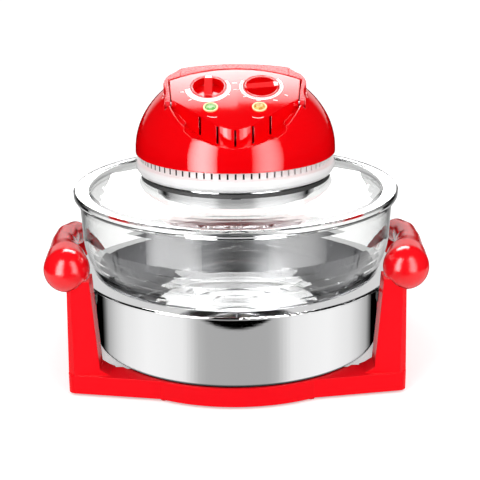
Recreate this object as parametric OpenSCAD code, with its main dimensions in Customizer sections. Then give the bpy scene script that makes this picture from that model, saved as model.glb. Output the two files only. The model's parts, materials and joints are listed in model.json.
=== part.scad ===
// Countertop halogen oven: glass bowl nested in a steel pot, on a moulded stand with two side
// handles, under a glass lid that carries the heater head, its controls and a folding bail.
// Millimetres, +Z up, front towards -Y, origin on the table under the centre of the bowl.

/* [Stand] */
// Height of the feet
foot_h = 3; // [2:0.5:6]
// Radius of a foot at the bow
foot_r = 6; // [4:0.5:9]
// Height of the stand's bow above the feet
bow_h = 19; // [16:0.5:26]
// Reach of the bow's front edge past the pot
bow_over = 3.5; // [2.5:0.5:8.5]
// Radial width of the bow
bow_w = 29; // [20:1:40]
// Depth of the step that centres the pot
pot_step = 2; // [1:0.5:4]
// Reach of the posts past the pot on each side
stand_reach = 17.5; // [15.5:0.5:24.5]
// Front face of the posts, from the centre
post_front = 117; // [114:0.5:124]
// Depth of a post, front to back
post_d = 25; // [20:0.5:30]
// Width of a post at its foot
post_foot_w = 32; // [26:0.5:36]
// Width of a post at its top
post_top_w = 22; // [18:0.5:28]
// Height of the post's tenon above the table
post_top = 118; // [112:1:124]
// Height of the side rails
rail_h = 14; // [10:0.5:18]
// Width of the side rails
rail_w = 14; // [10:0.5:16]

/* [Handles] */
// Radius of the knob-like lobe over the front post
lobe_r = 22; // [18:0.5:24]
// Radius of the grip bar
grip_r = 12; // [9:0.5:13]
// Height of the lobe's centre above the table
lobe_z = 127; // [122:1:134]

/* [Pot] */
// Outer radius of the pot wall
pot_r = 147.5; // [144:0.5:148]
// Height of the pot
pot_h = 78; // [70:1:84]
// Sheet thickness of the pot
pot_t = 0.8; // [0.6:0.1:1.5]
// Width of the pot's flange
pot_flange_w = 14.8; // [12.5:0.1:15.5]
// Radius of the pot's bottom corner
pot_corner = 6; // [3:0.5:12]

/* [Bowl] */
// Reach of the glass bowl past the pot's wall
bowl_over = 10; // [6.5:0.5:10.5]
// Half height of the bowl's round bottom
bowl_dip = 113; // [106:1:113]
// Thickness of the glass
glass_t = 4.5; // [3:0.5:6]
// Reach of the bowl's flange past its wall
bowl_lip = 1.8; // [1:0.1:3.5]
// Height of the bowl's flange
bowl_flange_h = 6.7; // [4:0.1:9]
// Height of the bowl's rim above the pot's rim
bowl_rise = 76; // [68:1:84]

/* [Lid] */
// Reach of the lid's rim past the bowl's wall
lid_over = 7.5; // [5.5:0.5:14.5]
// Height of the lid's rim
lid_rim_h = 7.6; // [6:0.2:10]
// Rise of the lid's dome from rim to neck
lid_rise = 11.5; // [8:0.5:18]
// Radius of the lid's neck hole
neck_r = 86; // [85.6:0.1:88]

/* [Heater can] */
// Radius of the can at the lid
can_r = 84; // [82:0.5:85]
// Radius of the can at its mouth
can_mouth_r = 80; // [77:0.5:82]
// Depth of the can under its flange
can_h = 21; // [18:0.5:26]
// Sheet thickness of the can
can_t = 0.8; // [0.6:0.1:1.2]
// Radius of the ring the halogen tube is bent to
tube_ring_r = 56; // [50:1:62]
// Radius of the halogen tube
tube_r = 5; // [4:0.5:6]
// Radius of the convection fan
fan_r = 44; // [36:1:46]

/* [Head] */
// Radius of the head at the collar
head_r = 101; // [100:0.5:104]
// Height of the slotted collar
collar_h = 20; // [18:0.5:26]
// Number of slots around the collar
slot_count = 80; // [40:4:96]
// Width of a collar slot
slot_w = 1.8; // [1:0.1:2.4]
// Height of a collar slot
slot_h = 5.8; // [4:0.2:7]
// Overhang of the cover's edge over the collar's slots
overhang = 4.5; // [3:0.5:5]
// Height of the cover's dome over the collar
dome_h = 85.5; // [80:0.5:92]
// Wall thickness of the head's mouldings
wall = 2.6; // [2:0.1:3]
// Tilt of the control panel
panel_tilt = 26; // [22:0.5:28]
// Height of the panel's plane over the collar at the centre
panel_rise = 78.1; // [77:0.1:82]
// Half width of the control console
console_half_w = 64.5; // [62:0.5:66]
// Reach of the console's nose
nose_reach = 81.6; // [78:0.2:84]
// Radius of the console's nose
nose_r = 29; // [24:1:34]
// Radius of the trough beside the console
trough_r = 80; // [76:1:86]

/* [Controls] */
// Distance of a control knob from the centre line
knob_x = 26; // [23:0.5:28]
// Place of the knobs behind the nose, front is negative
knob_y = -21; // [-24:0.5:-18]
// Radius of a control knob
knob_r = 17; // [15:0.5:18]
// Depth of the knob's well
well_d = 11; // [9:0.5:13]
// Width of the knob's finger bar
knob_bar_w = 8; // [6:0.5:10]
// Radius of an indicator lens
lens_r = 5.5; // [4:0.5:7]
// Distance of a lens from the centre line
lens_x = 23.5; // [20:0.5:28]
// Place of the lenses, front is negative
lens_y = -51.5; // [-56:0.5:-48]

/* [Bail] */
// Thickness of the folding bail
bail_t = 9; // [7:0.5:10]
// Width of the bail's bar
bail_w = 14; // [12:0.5:18]
// Radius of the pivot pins
pin_r = 2; // [1.5:0.1:2.5]
// Place of the pivot, front is negative
pivot_y = -40; // [-42:0.5:-37]

/* [Drive] */
// Radius of the motor shaft
shaft_r = 3; // [2:0.5:4]
// Radius of the cooling fan
cool_r = 60; // [50:1:64]

/* [Hidden] */
$fn = 64;
seat = 0.3;      // gap between pieces that rest on each other
run_fit = 0.05;  // radial play of a shaft in its bore
slack = 0.6;     // side play of parts that pass each other
room = 300;      // reach of blocks that only cut or limit a form

// radii and half widths that follow the pot
bow_r = pot_r + bow_over;
stand_half_w = pot_r + stand_reach;
pot_flange_r = pot_r + pot_flange_w;
bowl_r = pot_r + bowl_over;
bowl_flange_r = bowl_r + bowl_lip;
lid_r = bowl_r + lid_over;

// levels, from the table up
bow_top = foot_h + bow_h;
pot_z = bow_top - pot_step + seat;
pot_rim = pot_z + pot_h;
pot_in = pot_r - pot_t;
pot_bead = 1.6;
bowl_rim = pot_rim + bowl_rise;
bowl_mid = pot_rim + bowl_dip * sqrt(1 - pow((pot_in - seat) / bowl_r, 2));
bowl_flat = bowl_mid - bowl_dip + 3;
lid_z = bowl_rim + seat;
lid_shoulder = lid_z + lid_rim_h;
neck_z = lid_shoulder + lid_rise;
gasket_h = 2.6;
flange_z = neck_z + seat + gasket_h + seat;
flange_r = 95;
collar_z = flange_z + 2 * can_t + 2 * seat - 0.9;
collar_top = collar_z + collar_h;
cover_z = collar_top + seat;
slot_ring_r = head_r - overhang;
slot_low = collar_top - 1.2 - slot_h;
can_mouth_z = flange_z - can_h;

// stand
bar_back = 97;
bar_corner = 8;
bar_bend_x = 74;
foot_turn = 60.5;
foot_taper = 2.5;
bow_in = bow_r - bow_w;
post_back = post_front - post_d;
post_set_in = 0.4;
post_lean = 2.8;
post_chamfer = 7;
post_root = 6;
rear_leg = [stand_half_w - 19, 110];
pad_set_in = 28;
screw_r = 2;
screw_head_r = 3.6;
screw_head_h = 2.4;
screw_len = 24;
front_screw_z = post_top - 12;
rear_screw_z = foot_h + 9;

// handle centre line, right side: x, y, z and radius of the bar there
grip_path = [
  [stand_half_w - 3, -104, lobe_z, lobe_r],
  [stand_half_w - 0.5, -88, lobe_z + 2.5, grip_r + 7.5],
  [stand_half_w + 4, -66, lobe_z + 3, grip_r + 3.5],
  [stand_half_w + 9.5, -30, lobe_z + 1.5, grip_r + 0.5],
  [stand_half_w + 11, 8, lobe_z - 2, grip_r],
  [stand_half_w + 7, 38, lobe_z - 8, grip_r + 0.5],
  [stand_half_w, 66, lobe_z - 25, grip_r + 0.5],
  [stand_half_w - 10, 91, lobe_z - 48, grip_r],
  [rear_leg[0], rear_leg[1], lobe_z - 71, grip_r]
];

// head
panel_z = cover_z + panel_rise;
panel_slope = tan(panel_tilt);
function plane_z(y) = panel_z + y * panel_slope;
dome_mid = cover_z + 2.5;
crown_r = 68;
crown_lift = 1.5;
nose_turn = 38;
nose_mid = nose_r - nose_reach;
side_corner_y = -40;
back_corner_y = -12;
back_edge_y = 4.5;
side_corner_x = console_half_w - 3;
back_arc_r = (pow(console_half_w, 2) + pow(back_edge_y - back_corner_y, 2)) / (2 * (back_edge_y - back_corner_y));
trough_z = panel_z + 25.1;
pocket_drop = 3.6;
pocket_half_w = 48;
pocket_back = -41;
pocket_lip = 6;
slit_pitch = 16.8;
slit_w = 1.8;
knob_shaft_r = 3;
well_r = knob_r + slack;
well_wall = 2;
knob_shaft_len = 13.5;
drum_bore = knob_shaft_len - seat - well_wall;

// bail
pivot_z = plane_z(pivot_y) - bail_t / 2;
arm_in = side_corner_x + 1.2;
arm_out = arm_in + 4.6;
arm_rear_out = arm_out + 3;
bail_corner_r = 20;
bail_corner_y = -17;
bar_gap = 1.5;
bar_low = cover_z + 73.5;
grip_half_w = 54;
bail_turn = 19;
bail_mid = back_edge_y - back_arc_r;
inner_turn = asin((console_half_w + 1.5) / (back_arc_r + 1.5));
grip_h = 5;

// drive
tube_z = can_mouth_z + 11.5;
tube_gap = 9.3;
guard_wire = 1.2;
guard_r = can_mouth_r - 2.6;
guard_z = can_mouth_z + can_t + seat + guard_wire;
post_ring_r = 66;
flange_screw_r = 90;
bracket_z = collar_top + 8;
plate_t = 1.5;
core_h = 15;
core_half_w = 28;
core_front = -24;
core_back = 46;
core_z = bracket_z + plate_t + 3;
bridge_z = core_z + core_h + 3;
rotor_r = 16;
pan_top = flange_z + 6;
fan_z = pan_top - 3;
hub_h = 12;
nut_h = 4;
nut_z = fan_z - hub_h - seat - nut_h;
shaft_bottom = nut_z - 1;
shield_z = pan_top + 3.5;
shield_t = 0.8;
shield_r = can_r - 8;
cool_z = shield_z + shield_t + 2.3;
pillar_at = [22, -18];
shaft_top = bridge_z + plate_t + 3;

// switch and inlet
plunger_r = 2.5;
plunger_y = 13;
switch_h = 12;
crown_under = dome_mid + (dome_h - 2.5 - wall) * sqrt(1 - pow(crown_r / (head_r - wall), 2));
switch_z = crown_under + 0.9 * crown_lift - seat - switch_h;
gland_r = 9;
gland_rise = 17;

// ---------- helpers ----------
module both_sides() {
  children();
  mirror([1, 0, 0]) children();
}

module ring(outer, inner, h) {
  difference() {
    cylinder(r = outer, h = h);
    translate([0, 0, -1]) cylinder(r = inner, h = h + 2);
  }
}

function arc(cx, cy, r, from, to, steps) =
  [for (i = [0:steps]) let (a = from + (to - from) * i / steps) [cx + r * cos(a), cy + r * sin(a)]];

// the skin between two balls: a cone that leaves each one along its surface, proud by skin
module bar(a, b, ra, rb, skin) {
  v = b - a;
  len = norm(v);
  lean = asin((ra - rb) / len);
  translate(a) rotate([0, acos(v[2] / len), atan2(v[1], v[0])]) translate([0, 0, ra * sin(lean)])
    cylinder(r1 = ra * cos(lean) + skin, r2 = rb * cos(lean) + skin, h = len + (rb - ra) * sin(lean));
}

module on_panel(x, y) {
  translate([x, y, plane_z(y)]) rotate([panel_tilt, 0, 0]) children();
}

module above_panel(drop = 0) {
  translate([0, 0, panel_z - drop]) rotate([panel_tilt, 0, 0])
    translate([-room / 2, -room, 0]) cube([room, 2 * room, room]);
}

// ---------- stand ----------
function front_bar() = concat(
  arc(0, 0, bow_r, 270, 270 + asin(bar_bend_x / bow_r), 12),
  [[stand_half_w - bar_corner + 1, -post_front]],
  arc(stand_half_w - bar_corner, -post_front + bar_corner, bar_corner, 280, 360, 5),
  [[stand_half_w, -post_back], [stand_half_w - post_foot_w, -post_back], [120, -bar_back]],
  [[sqrt(pow(bow_in, 2) - pow(bar_back, 2)), -bar_back]],
  arc(0, 0, bow_in, 270 + acos(bar_back / bow_in), 270, 8)
);

module cross_bar() {
  both_sides() translate([0, 0, foot_h]) linear_extrude(bow_h) polygon(front_bar());
}

module post() {
  low_x = stand_half_w - post_set_in;
  high_x = low_x - post_lean;
  intersection() {
    translate([0, -post_back, 0]) rotate([90, 0, 0]) linear_extrude(post_d)
      polygon([
        [low_x - post_foot_w - 2 * post_root, bow_top - 1], [low_x, bow_top - 1],
        [high_x, post_top], [high_x - post_top_w, post_top],
        [low_x - post_foot_w + 0.6, bow_top + post_root], [low_x - post_foot_w - post_root, bow_top + 1.5]
      ]);
    linear_extrude(post_top + 1)
      polygon([
        [100, -post_back], [stand_half_w, -post_back], [stand_half_w, post_chamfer - post_front],
        [stand_half_w - post_chamfer, -post_front], [100, -post_front]
      ]);
  }
}

module foot_places() {
  for (a = [foot_turn, 180 - foot_turn, 180 + foot_turn, -foot_turn])
    rotate(a) translate([bow_r - foot_r - 1, 0, 0]) children();
}

// places of the screws that hold the handles, each raised to its seat
module screw_places(front_z, rear_z) {
  for (sx = [-1, 1]) {
    translate([sx * (stand_half_w - 14), -post_front + post_d / 2, front_z]) children();
    translate([sx * rear_leg[0], rear_leg[1], rear_z]) children();
  }
}

module base_frame() {
  color("red") difference() {
    union() {
      cross_bar();
      mirror([0, 1, 0]) cross_bar();
      both_sides() {
        post();
        translate([stand_half_w - rail_w - 0.5, -post_back - 1, foot_h])
          cube([rail_w, 2 * post_back + 2, rail_h]);
      }
    }
    translate([0, 0, bow_top - pot_step]) cylinder(r = pot_r + 1.2, h = 10, $fn = 128);
    foot_places() translate([0, 0, -1]) cylinder(r = 2.2, h = 8);
    screw_places(front_screw_z, rear_screw_z) {
      cylinder(r = screw_r + 0.2, h = screw_len);
      translate([0, 0, -room]) cylinder(r = screw_head_r + 0.4, h = room);
    }
  }
}

module feet() {
  color("red") foot_places() {
    cylinder(r1 = foot_r - foot_taper, r2 = foot_r, h = foot_h);
    cylinder(r = 2, h = foot_h + 3.5);
  }
}

module grip_chain() {
  for (i = [0:len(grip_path) - 2]) {
    a = grip_path[i];
    b = grip_path[i + 1];
    bar([a[0], a[1], a[2]], [b[0], b[1], b[2]], a[3], b[3], 0.06);
  }
  for (p = grip_path) translate([p[0], p[1], p[2]]) sphere(r = p[3]);
  translate([rear_leg[0], rear_leg[1], bow_top + seat])
    cylinder(r = grip_r - 0.2, h = lobe_z - 71 - bow_top);
}

module handle() {
  difference() {
    grip_chain();
    translate([0, 0, seat]) post();
    post();
    screw_places(front_screw_z, rear_screw_z) cylinder(r = screw_r, h = screw_len + 0.5);
  }
}

module right_handle() {
  color("red") handle();
}

module left_handle() {
  color("red") mirror([1, 0, 0]) handle();
}

// black pads on the posts' inner faces, under the pot's flange
module rest_pads() {
  pad_w = 11;
  pad_h = 9;
  color("#1c1c1c") both_sides() difference() {
    translate([stand_half_w - pad_set_in, -post_back + seat, pot_rim - 2 * pot_bead - seat - pad_h])
      cube([pad_w, 12, pad_h]);
    cylinder(r = pot_r + 1.5, h = room, $fn = 128);
  }
}

module handle_screws() {
  color("silver") screw_places(front_screw_z, rear_screw_z) {
    translate([0, 0, -screw_head_h]) cylinder(r = screw_head_r, h = screw_head_h);
    cylinder(r = screw_r - 0.1, h = screw_len);
  }
}

// ---------- pot and bowl ----------
module steel_pot() {
  color("silver") rotate_extrude($fn = 128) difference() {
    union() {
      translate([0, pot_z]) square([pot_r - pot_corner, pot_t]);
      translate([pot_r - pot_corner, pot_z + pot_corner]) circle(r = pot_corner);
      translate([pot_in, pot_z + pot_corner]) square([pot_t, pot_h - pot_corner]);
      translate([pot_in, pot_rim - pot_t]) square([pot_flange_r - pot_bead - pot_in, pot_t]);
      translate([pot_flange_r - pot_bead, pot_rim - pot_bead]) circle(r = pot_bead);
    }
    translate([pot_r - pot_corner, pot_z + pot_corner]) circle(r = pot_corner - pot_t);
    translate([pot_r - 2 * pot_corner - 1, pot_z + pot_t])
      square([pot_corner + 1, 2 * pot_corner]);
    translate([pot_r - pot_corner - 0.1, pot_z + pot_corner])
      square([pot_corner - pot_t + 0.1, pot_corner]);
  }
}

function bowl_wall(r, dip, low) =
  let (low_angle = -asin((bowl_mid - low) / dip))
  [for (i = [0:18]) let (a = low_angle * i / 18)
    [r * cos(a), bowl_mid + dip * sin(a)]];

module glass_bowl() {
  in_r = bowl_r - glass_t;
  color("lightcyan", 0.35) rotate_extrude($fn = 128)
    polygon(concat(
      [[bowl_flange_r, bowl_rim - 0.8], [bowl_flange_r, bowl_rim - bowl_flange_h]],
      bowl_wall(bowl_r, bowl_dip, bowl_flat),
      [[0, bowl_flat], [0, bowl_flat + glass_t]],
      [for (i = [18:-1:0]) bowl_wall(in_r, bowl_dip - glass_t, bowl_flat + glass_t)[i]],
      [[in_r, bowl_rim - 0.8], [in_r + 0.8, bowl_rim], [bowl_flange_r - 0.8, bowl_rim]]
    ));
}

// ---------- lid ----------
function lid_top(r) =
  neck_z - lid_rise * (pow(r, 2) - pow(neck_r, 2)) / (pow(lid_r - 9, 2) - pow(neck_r, 2));

module lid_glass() {
  lip_out = bowl_r - glass_t - slack;
  shoulder_r = lid_r - 9;
  color("lightcyan", 0.35) rotate_extrude($fn = 128)
    polygon(concat(
      [[lid_r - 1, lid_z], [lid_r, lid_z + 2], [lid_r, lid_shoulder - 1.8]],
      [[lid_r - 1.8, lid_shoulder], [shoulder_r, lid_shoulder]],
      [for (i = [1:10]) let (r = shoulder_r + (neck_r - shoulder_r) * i / 10) [r, lid_top(r)]],
      [for (i = [10:-1:1]) let (r = shoulder_r + (neck_r - shoulder_r) * i / 10)
        [r, lid_top(r) - glass_t]],
      [[lip_out - 5, lid_top(lip_out - 5) - glass_t], [lip_out - 4.2, lid_z - 4], [lip_out, lid_z - 4]],
      [[lip_out, lid_z]]
    ));
}

module neck_gasket() {
  low = lid_top(flange_r + 1) + seat;
  color("#202020") rotate_extrude($fn = 96)
    polygon([
      [neck_r + 0.4, neck_z + seat], [flange_r + 1, low],
      [flange_r + 1, neck_z + seat + gasket_h], [neck_r + 0.4, neck_z + seat + gasket_h]
    ]);
}

module flange_screw_places() {
  for (a = [30:60:330]) rotate(a) translate([flange_screw_r, 0, 0]) children();
}

module heater_can() {
  tab_z = lid_top(flange_screw_r) - glass_t - seat - can_t;
  color("silver") difference() {
    union() {
      rotate_extrude($fn = 96)
        polygon([
          [can_mouth_r, can_mouth_z], [can_r, flange_z - 4], [can_r, flange_z],
          [flange_r, flange_z], [flange_r, flange_z + can_t], [can_r - can_t, flange_z + can_t],
          [can_r - can_t, flange_z - 4], [can_mouth_r - can_t, can_mouth_z + 0.6],
          [can_mouth_r - 3, can_mouth_z + can_t], [can_mouth_r - 3, can_mouth_z]
        ]);
      for (a = [0:90:270]) rotate(a) translate([can_r - 2, -5, tab_z]) cube([8, 10, can_t]);
    }
    translate([0, 0, flange_z - 1]) flange_screw_places() cylinder(r = 1.6, h = 4);
  }
}

// inverted pan that closes the can and throws the heat down
module reflector_pan() {
  base = flange_z + can_t + seat;
  color("silver") difference() {
    rotate_extrude($fn = 96)
      polygon([
        [flange_r, base], [can_r - 2, base], [can_r - 8, pan_top],
        [0, pan_top], [0, pan_top + can_t], [can_r - 7.6, pan_top + can_t],
        [can_r - 1.4, base + can_t], [flange_r, base + can_t]
      ]);
    translate([0, 0, pan_top - 5]) cylinder(r = shaft_r + 2, h = 10);
    translate([0, 0, base - 1]) flange_screw_places() cylinder(r = 1.6, h = 4);
    lamp_ends() cylinder(r = 2, h = room);
  }
}

module heat_shield() {
  color("#b0a890") difference() {
    translate([0, 0, shield_z]) cylinder(r = shield_r, h = shield_t, $fn = 96);
    translate([0, 0, pan_top]) cylinder(r = shaft_r + 2, h = 10);
    post_places() translate([0, 0, pan_top]) cylinder(r = 2.2, h = 10);
    lamp_ends() cylinder(r = 2.2, h = room);
  }
}

module post_places() {
  for (a = [45:90:315]) rotate(a) translate([post_ring_r, 0, 0]) children();
}

// wire guard across the can's mouth
module lamp_guard() {
  color("silver") {
    for (r = [14, 34, 54, guard_r])
      translate([0, 0, guard_z]) rotate_extrude($fn = 64) translate([r, 0]) circle(r = guard_wire, $fn = 24);
    for (a = [0:45:135]) rotate(a) translate([0, 0, guard_z + 0.9]) rotate([0, 90, 0])
      translate([0, 0, -guard_r]) cylinder(r = guard_wire, h = 2 * guard_r, $fn = 24);
  }
}

// the tube's ends, side by side at the back of the ring
module lamp_ends() {
  for (sx = [-1, 1]) translate([sx * 9, tube_ring_r, tube_z]) children();
}

module tube_ring(r, gap) {
  translate([0, 0, tube_z]) rotate(90 + gap) rotate_extrude(angle = 360 - 2 * gap, $fn = 96)
    translate([tube_ring_r, 0]) circle(r = r, $fn = 32);
}

module halogen_tube() {
  color("lightyellow", 0.6) tube_ring(tube_r, tube_gap);
}

module lamp_holders() {
  color("white") difference() {
    both_sides() translate([4.5, tube_ring_r - 8.5, tube_z - 4]) cube([10, 16, pan_top - seat - tube_z + 4]);
    tube_ring(tube_r + seat, 0);
  }
}

// ---------- head ----------
module vent_collar() {
  color("white") difference() {
    rotate_extrude($fn = 128)
      polygon([
        [flange_r + 0.6, collar_z], [head_r - 2.5, collar_z + 1.2], [head_r - 0.6, collar_z + 4],
        [head_r, collar_z + 8], [head_r - 0.3, slot_low - 3.6], [head_r - 1.4, slot_low - 1.6],
        [slot_ring_r + 0.8, slot_low - 0.5], [slot_ring_r, slot_low + 0.5], [slot_ring_r, collar_top],
        [slot_ring_r - wall, collar_top], [slot_ring_r - wall, slot_low - 0.7], [head_r - wall - 1, slot_low - 4.2],
        [head_r - wall - 1, collar_z + 6.5], [flange_r - 1, collar_z + 3.4], [can_r, collar_z + 3.4],
        [can_r, collar_z + 1.4], [flange_r + 0.6, collar_z + 1.4]
      ]);
    translate([0, 0, collar_z]) flange_screw_places() cylinder(r = 1.6, h = 8);
    for (i = [0:slot_count - 1]) rotate(360 * i / slot_count)
      translate([slot_ring_r - wall - 1, -slot_w / 2, slot_low])
        cube([wall + 3, slot_w, slot_h]);
  }
}

// dome over the collar, taken in by t for its inside
module dome(t) {
  a = head_r - t;
  h = dome_h - 2.5 - t;
  edge = acos((crown_r) / a);
  rotate_extrude($fn = 128)
    polygon(concat(
      [[0, cover_z], [a, cover_z]],
      [for (i = [0:14]) [a * cos(edge * i / 14), dome_mid + h * sin(edge * i / 14)]],
      [[crown_r / 2, dome_mid + h * sin(edge) + 0.75 * crown_lift],
       [0, dome_mid + h * sin(edge) + crown_lift]]
    ));
}

// plan of the control console, taken in by t
function nose_arc(t) = arc(0, nose_mid, nose_r - t, 270 - nose_turn, 270 + nose_turn, 10);
function console_plan(t) =
  let (r = back_arc_r - t, half = asin((console_half_w - t) / r))
  concat(
    nose_arc(t),
    [[side_corner_x - t, side_corner_y + 0.5 * t]],
    arc(0, bail_mid, r, 90 - half, 90 + half, 16),
    [[t - side_corner_x, side_corner_y + 0.5 * t]]
  );

module console(t) {
  translate([0, 0, cover_z + 1 + t]) linear_extrude(room / 2) polygon(console_plan(t));
}

// the trough on both sides of the console; the ground behind the console stays
module trough(t, drop = 0) {
  half = console_half_w - 1.5 - t;
  difference() {
    translate([0, 0, trough_z - drop]) rotate([90, 0, 0])
      cylinder(r = trough_r + t, h = room, center = true, $fn = 128);
    translate([-half, back_corner_y - 3, cover_z - room / 2]) cube([2 * half, room, room]);
  }
}

// deeper ground in front of the nose, where the vent slits open
module vent_pocket() {
  intersection() {
    translate([0, 0, trough_z - pocket_drop]) rotate([90, 0, 0])
      cylinder(r = trough_r, h = room, center = true, $fn = 128);
    translate([-pocket_half_w, pocket_back - room, cover_z - room / 2]) cube([2 * pocket_half_w, room, room]);
    cylinder(r = head_r - pocket_lip, h = 2 * room, $fn = 128);
  }
}

// slots beside the console where the bail's arms lie, wider where the arms widen
module arm_slots(t) {
  from_x = side_corner_x - 6;
  both_sides() difference() {
    union() {
      translate([from_x, pivot_y - 7 - t, cover_z]) cube([arm_out + slack + t - from_x, 90, room]);
      translate([from_x, pivot_y + 13 - t, cover_z]) cube([arm_rear_out + slack + t - from_x, 70, room]);
    }
    translate([0, 0, panel_z - bail_t - 1.5 - t]) rotate([panel_tilt, 0, 0])
      translate([-room / 2, -room, -room]) cube([room, 2 * room, room]);
  }
}

module cover_outside() {
  difference() {
    union() {
      difference() {
        dome(0);
        trough(0);
        vent_pocket();
        arm_slots(0);
      }
      console(0);
    }
    above_panel();
  }
}

module cover_inside() {
  difference() {
    union() {
      difference() {
        dome(wall);
        trough(wall, pocket_drop);
        arm_slots(wall);
      }
      console(wall);
    }
    above_panel(wall / cos(panel_tilt));
  }
}

module well_bodies() {
  for (sx = [-1, 1]) on_panel(sx * knob_x, knob_y)
    translate([0, 0, -well_d - well_wall]) cylinder(r = well_r + well_wall, h = well_d + well_wall - 0.5);
}

module well_holes() {
  for (sx = [-1, 1]) on_panel(sx * knob_x, knob_y) {
    translate([0, 0, -well_d]) cylinder(r = well_r, h = well_d + 5);
    translate([0, 0, -well_d - 8]) cylinder(r = knob_shaft_r + 1, h = 20);
  }
}

// depth of the console's front edge at x
function nose_edge(x) =
  let (turn_x = nose_r * sin(nose_turn), turn_y = nose_mid - nose_r * cos(nose_turn))
  abs(x) < turn_x ? nose_mid - sqrt(pow(nose_r, 2) - x * x)
    : turn_y + (abs(x) - turn_x) * (side_corner_y - turn_y) / (side_corner_x - turn_x);

module nose_slits() {
  for (i = [-2:2]) {
    x = i * slit_pitch;
    low = trough_z - pocket_drop - sqrt(pow(trough_r, 2) - x * x) + 1.5;
    translate([x - slit_w / 2, nose_edge(x) - 5, low])
      cube([slit_w, 14, plane_z(nose_edge(x)) - 1.2 - low]);
  }
}

module pivot_bosses() {
  both_sides() translate([side_corner_x - 9, pivot_y, pivot_z]) rotate([0, 90, 0])
    cylinder(r = pin_r + 1.8, h = 8.8);
}

// lip inside the cover's edge that rests on the collar
module cover_lip() {
  translate([0, 0, cover_z]) ring(head_r - 1.2, slot_ring_r - wall, 2.2);
}

// clips that hold the cover in the collar
module cover_clips() {
  clip_r = slot_ring_r - wall - seat;
  for (a = [45:90:315]) rotate(a) intersection() {
    union() {
      translate([0, 0, collar_top - 6]) ring(clip_r, clip_r - 1.6, 9);
      translate([0, 0, cover_z + 0.4]) ring(clip_r + 1, clip_r - 1.6, 3);
    }
    translate([80, -10, collar_top - 10]) cube([30, 20, 20]);
  }
}

module gland_place() {
  out_r = head_r * sqrt(1 - pow(gland_rise / (dome_h - 2.5), 2));
  lift = atan(head_r * gland_rise / pow(dome_h - 2.5, 2) / (out_r / head_r));
  translate([0, out_r, dome_mid + gland_rise]) rotate([lift - 90, 0, 0]) children();
}

module pivot_bore(r, from, to) {
  both_sides() translate([from, pivot_y, pivot_z]) rotate([0, 90, 0]) cylinder(r = r, h = to - from);
}

module head_cover() {
  color("red") difference() {
    union() {
      difference() {
        cover_outside();
        translate([0, 0, -0.01]) cover_inside();
      }
      well_bodies();
      pivot_bosses();
      cover_lip();
      cover_clips();
    }
    well_holes();
    nose_slits();
    for (sx = [-1, 1]) on_panel(sx * lens_x, lens_y)
      translate([0, 0, -12]) cylinder(r = lens_r + 0.2, h = 20);
    pivot_bore(pin_r + run_fit, side_corner_x - 9, side_corner_x + 2);
    translate([0, plunger_y, cover_z + 30]) cylinder(r = plunger_r + 0.08, h = 60);
    gland_place() translate([0, 0, -10]) cylinder(r = gland_r - 1.7, h = 30);
  }
}

module head_screws() {
  color("silver") translate([0, 0, collar_z + 3.4]) flange_screw_places() {
    cylinder(r = 2.8, h = 2);
    translate([0, 0, flange_z - collar_z - 3.4]) cylinder(r = 1.4, h = collar_z + 4.4 - flange_z);
  }
}

// ---------- controls ----------
module knob(turn) {
  rim = 1.6;
  low = seat - well_d;
  rotate(turn) {
    difference() {
      translate([0, 0, low]) cylinder(r = knob_r, h = -low);
      translate([0, 0, low + 2]) cylinder(r = knob_r - rim, h = 30);
    }
    intersection() {
      translate([-knob_bar_w / 2, -knob_r, low]) cube([knob_bar_w, 2 * knob_r, 1.5 - low]);
      translate([0, 0, low]) cylinder(r = knob_r - 0.6, h = 40);
    }
    translate([0, 0, low - knob_shaft_len]) cylinder(r = knob_shaft_r, h = knob_shaft_len + 1);
  }
}

module temperature_knob() {
  color("red") on_panel(-knob_x, knob_y) knob(0);
}

module timer_knob() {
  color("red") on_panel(knob_x, knob_y) knob(-83);
}

// a control's drum, hung under the floor of its well
module control_drum(r, h) {
  difference() {
    translate([0, 0, -well_d - well_wall - seat - h]) cylinder(r = r, h = h);
    translate([0, 0, -well_d - well_wall - seat - drum_bore]) cylinder(r = knob_shaft_r + run_fit, h = 20);
  }
}

module thermostat() {
  color("#d8d2c0") on_panel(-knob_x, knob_y) {
    control_drum(12.5, 13);
    for (sx = [-1, 1]) translate([sx * 6 - 2, -0.4, -well_d - well_wall - seat - 18])
      cube([4, 0.8, 5.5]);
  }
}

module timer_clock() {
  color("silver") on_panel(knob_x, knob_y) control_drum(14, 14);
}

module lens(side) {
  on_panel(side * lens_x, lens_y) {
    translate([0, 0, -5]) cylinder(r = lens_r, h = 5.5);
    translate([0, 0, 0.5]) cylinder(r1 = lens_r, r2 = lens_r - 2.5, h = 1.6);
  }
}

module power_lens() {
  color("lightgreen") lens(-1);
}

module heat_lens() {
  color("orange") lens(1);
}

module lens_bezels() {
  color("khaki") for (sx = [-1, 1]) on_panel(sx * lens_x, lens_y)
    ring(lens_r + 1.7, lens_r + 0.1, 1.1);
}

module indicator_bulbs() {
  color("white") for (sx = [-1, 1]) on_panel(sx * lens_x, lens_y)
    translate([0, 0, -5 - seat - 9]) cylinder(r = 2.6, h = 9);
}

// ---------- safety switch and inlet ----------
module safety_switch() {
  color("#222222") difference() {
    translate([-9, plunger_y - 4.5, switch_z]) cube([18, 9.5, switch_h]);
    translate([0, plunger_y, switch_z + 3]) cylinder(r = plunger_r + 0.08, h = switch_h);
  }
}

module switch_plunger() {
  low = switch_z + 3 + seat;
  color("white") translate([0, plunger_y, low]) cylinder(r = plunger_r, h = bar_low - seat - low);
}

module terminal_block() {
  color("ivory") rotate(-30) translate([-14, flange_screw_r - 7, collar_z + 3.4 + seat]) difference() {
    cube([28, 9, 11]);
    for (i = [0:2]) translate([5 + 9 * i, 4.5, 4]) cylinder(r = 1.8, h = 10);
  }
}

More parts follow.
